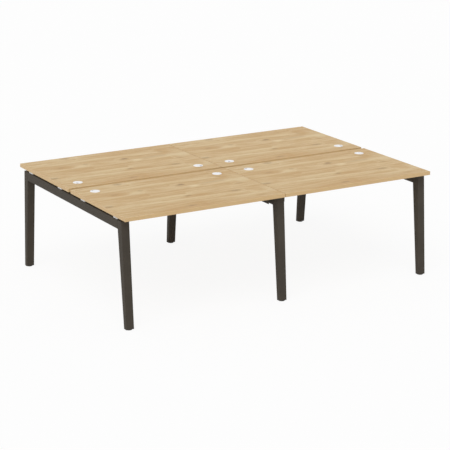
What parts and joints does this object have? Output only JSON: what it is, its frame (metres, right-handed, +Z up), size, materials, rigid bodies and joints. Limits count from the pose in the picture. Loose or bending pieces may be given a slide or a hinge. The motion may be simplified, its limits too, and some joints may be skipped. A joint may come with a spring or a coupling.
{
  "type": "bench desk",
  "caption": "Back-to-back bench desk: oak decor worktops on splayed steel trestle frames, with turning cable port caps and levelling feet.",
  "frame": {"origin": "on the floor, under the middle of the desk", "axes": "+X along the rows, +Z up, -Y towards the front row's seats"},
  "size_m": [2.364, 1.635, 0.7522],
  "materials": {
    "oak_board": "satin oak decor",
    "oak_edging": "satin oak decor edging",
    "frame_paint": "fine-textured matt powder coat",
    "white_plastic": "satin moulded",
    "foot_plastic": "matt moulded",
    "plug_plastic": "matt moulded",
    "zinc_steel": "bright zinc plated"
  },
  "bodies": {
    "desk": {"desktop_front_left": "oak_board", "edging_front_left": "oak_edging", "cable_port_liners_front_left": "white_plastic", "stretcher_front_left": "frame_paint", "desktop_front_right": "oak_board", "edging_front_right": "oak_edging", "cable_port_liners_front_right": "white_plastic", "stretcher_front_right": "frame_paint", "desktop_back_left": "oak_board", "edging_back_left": "oak_edging", "cable_port_liners_back_left": "white_plastic", "stretcher_back_left": "frame_paint", "desktop_back_right": "oak_board", "edging_back_right": "oak_edging", "cable_port_liners_back_right": "white_plastic", "stretcher_back_right": "frame_paint", "crossbeam_left": "frame_paint", "leg_front_left": "frame_paint", "leg_back_left": "frame_paint", "leg_end_plugs_left": "plug_plastic", "spacer_pads_left": "white_plastic", "worktop_screws_left": "zinc_steel", "crossbeam_middle": "frame_paint", "leg_front_middle": "frame_paint", "leg_back_middle": "frame_paint", "leg_end_plugs_middle": "plug_plastic", "spacer_pads_middle": "white_plastic", "worktop_screws_middle": "zinc_steel", "crossbeam_right": "frame_paint", "leg_front_right": "frame_paint", "leg_back_right": "frame_paint", "leg_end_plugs_right": "plug_plastic", "spacer_pads_right": "white_plastic", "worktop_screws_right": "zinc_steel", "saddle_front_inner": "frame_paint", "saddle_front_outer": "frame_paint", "saddle_back_inner": "frame_paint", "saddle_back_outer": "frame_paint", "stretcher_bolts_left": "zinc_steel", "stretcher_bolts_right": "zinc_steel"},
    "cap_front_left_outer": {"cable_port_cap_front_left_outer": "white_plastic"},
    "cap_front_left_inner": {"cable_port_cap_front_left_inner": "white_plastic"},
    "cap_front_right_outer": {"cable_port_cap_front_right_outer": "white_plastic"},
    "cap_front_right_inner": {"cable_port_cap_front_right_inner": "white_plastic"},
    "cap_back_left_outer": {"cable_port_cap_back_left_outer": "white_plastic"},
    "cap_back_left_inner": {"cable_port_cap_back_left_inner": "white_plastic"},
    "cap_back_right_outer": {"cable_port_cap_back_right_outer": "white_plastic"},
    "cap_back_right_inner": {"cable_port_cap_back_right_inner": "white_plastic"},
    "foot_front_left": {"foot_pad_front_left": "foot_plastic", "foot_stud_front_left": "zinc_steel"},
    "foot_back_left": {"foot_pad_back_left": "foot_plastic", "foot_stud_back_left": "zinc_steel"},
    "foot_front_middle": {"foot_pad_front_middle": "foot_plastic", "foot_stud_front_middle": "zinc_steel"},
    "foot_back_middle": {"foot_pad_back_middle": "foot_plastic", "foot_stud_back_middle": "zinc_steel"},
    "foot_front_right": {"foot_pad_front_right": "foot_plastic", "foot_stud_front_right": "zinc_steel"},
    "foot_back_right": {"foot_pad_back_right": "foot_plastic", "foot_stud_back_right": "zinc_steel"}
  },
  "joints": [
    {"name": "cap_turn_front_left_outer", "type": "hinge", "parent": "desk", "child": "cap_front_left_outer", "pos_m": [-1.057, -0.1325, 0.75], "axis": [0, 0, 1], "continuous": true},
    {"name": "cap_turn_front_left_inner", "type": "hinge", "parent": "desk", "child": "cap_front_left_inner", "pos_m": [-0.127, -0.1325, 0.75], "axis": [0, 0, 1], "continuous": true},
    {"name": "cap_turn_front_right_outer", "type": "hinge", "parent": "desk", "child": "cap_front_right_outer", "pos_m": [1.057, -0.1325, 0.75], "axis": [0, 0, 1], "continuous": true},
    {"name": "cap_turn_front_right_inner", "type": "hinge", "parent": "desk", "child": "cap_front_right_inner", "pos_m": [0.127, -0.1325, 0.75], "axis": [0, 0, 1], "continuous": true},
    {"name": "cap_turn_back_left_outer", "type": "hinge", "parent": "desk", "child": "cap_back_left_outer", "pos_m": [-1.057, 0.1325, 0.75], "axis": [0, 0, 1], "continuous": true},
    {"name": "cap_turn_back_left_inner", "type": "hinge", "parent": "desk", "child": "cap_back_left_inner", "pos_m": [-0.127, 0.1325, 0.75], "axis": [0, 0, 1], "continuous": true},
    {"name": "cap_turn_back_right_outer", "type": "hinge", "parent": "desk", "child": "cap_back_right_outer", "pos_m": [1.057, 0.1325, 0.75], "axis": [0, 0, 1], "continuous": true},
    {"name": "cap_turn_back_right_inner", "type": "hinge", "parent": "desk", "child": "cap_back_right_inner", "pos_m": [0.127, 0.1325, 0.75], "axis": [0, 0, 1], "continuous": true},
    {"name": "foot_screw_front_left", "type": "slide", "parent": "desk", "child": "foot_front_left", "axis": [0, 0, -1], "range_m": [0, 0.012]},
    {"name": "foot_screw_back_left", "type": "slide", "parent": "desk", "child": "foot_back_left", "axis": [0, 0, -1], "range_m": [0, 0.012]},
    {"name": "foot_screw_front_middle", "type": "slide", "parent": "desk", "child": "foot_front_middle", "axis": [0, 0, -1], "range_m": [0, 0.012]},
    {"name": "foot_screw_back_middle", "type": "slide", "parent": "desk", "child": "foot_back_middle", "axis": [0, 0, -1], "range_m": [0, 0.012]},
    {"name": "foot_screw_front_right", "type": "slide", "parent": "desk", "child": "foot_front_right", "axis": [0, 0, -1], "range_m": [0, 0.012]},
    {"name": "foot_screw_back_right", "type": "slide", "parent": "desk", "child": "foot_back_right", "axis": [0, 0, -1], "range_m": [0, 0.012]}
  ]
}
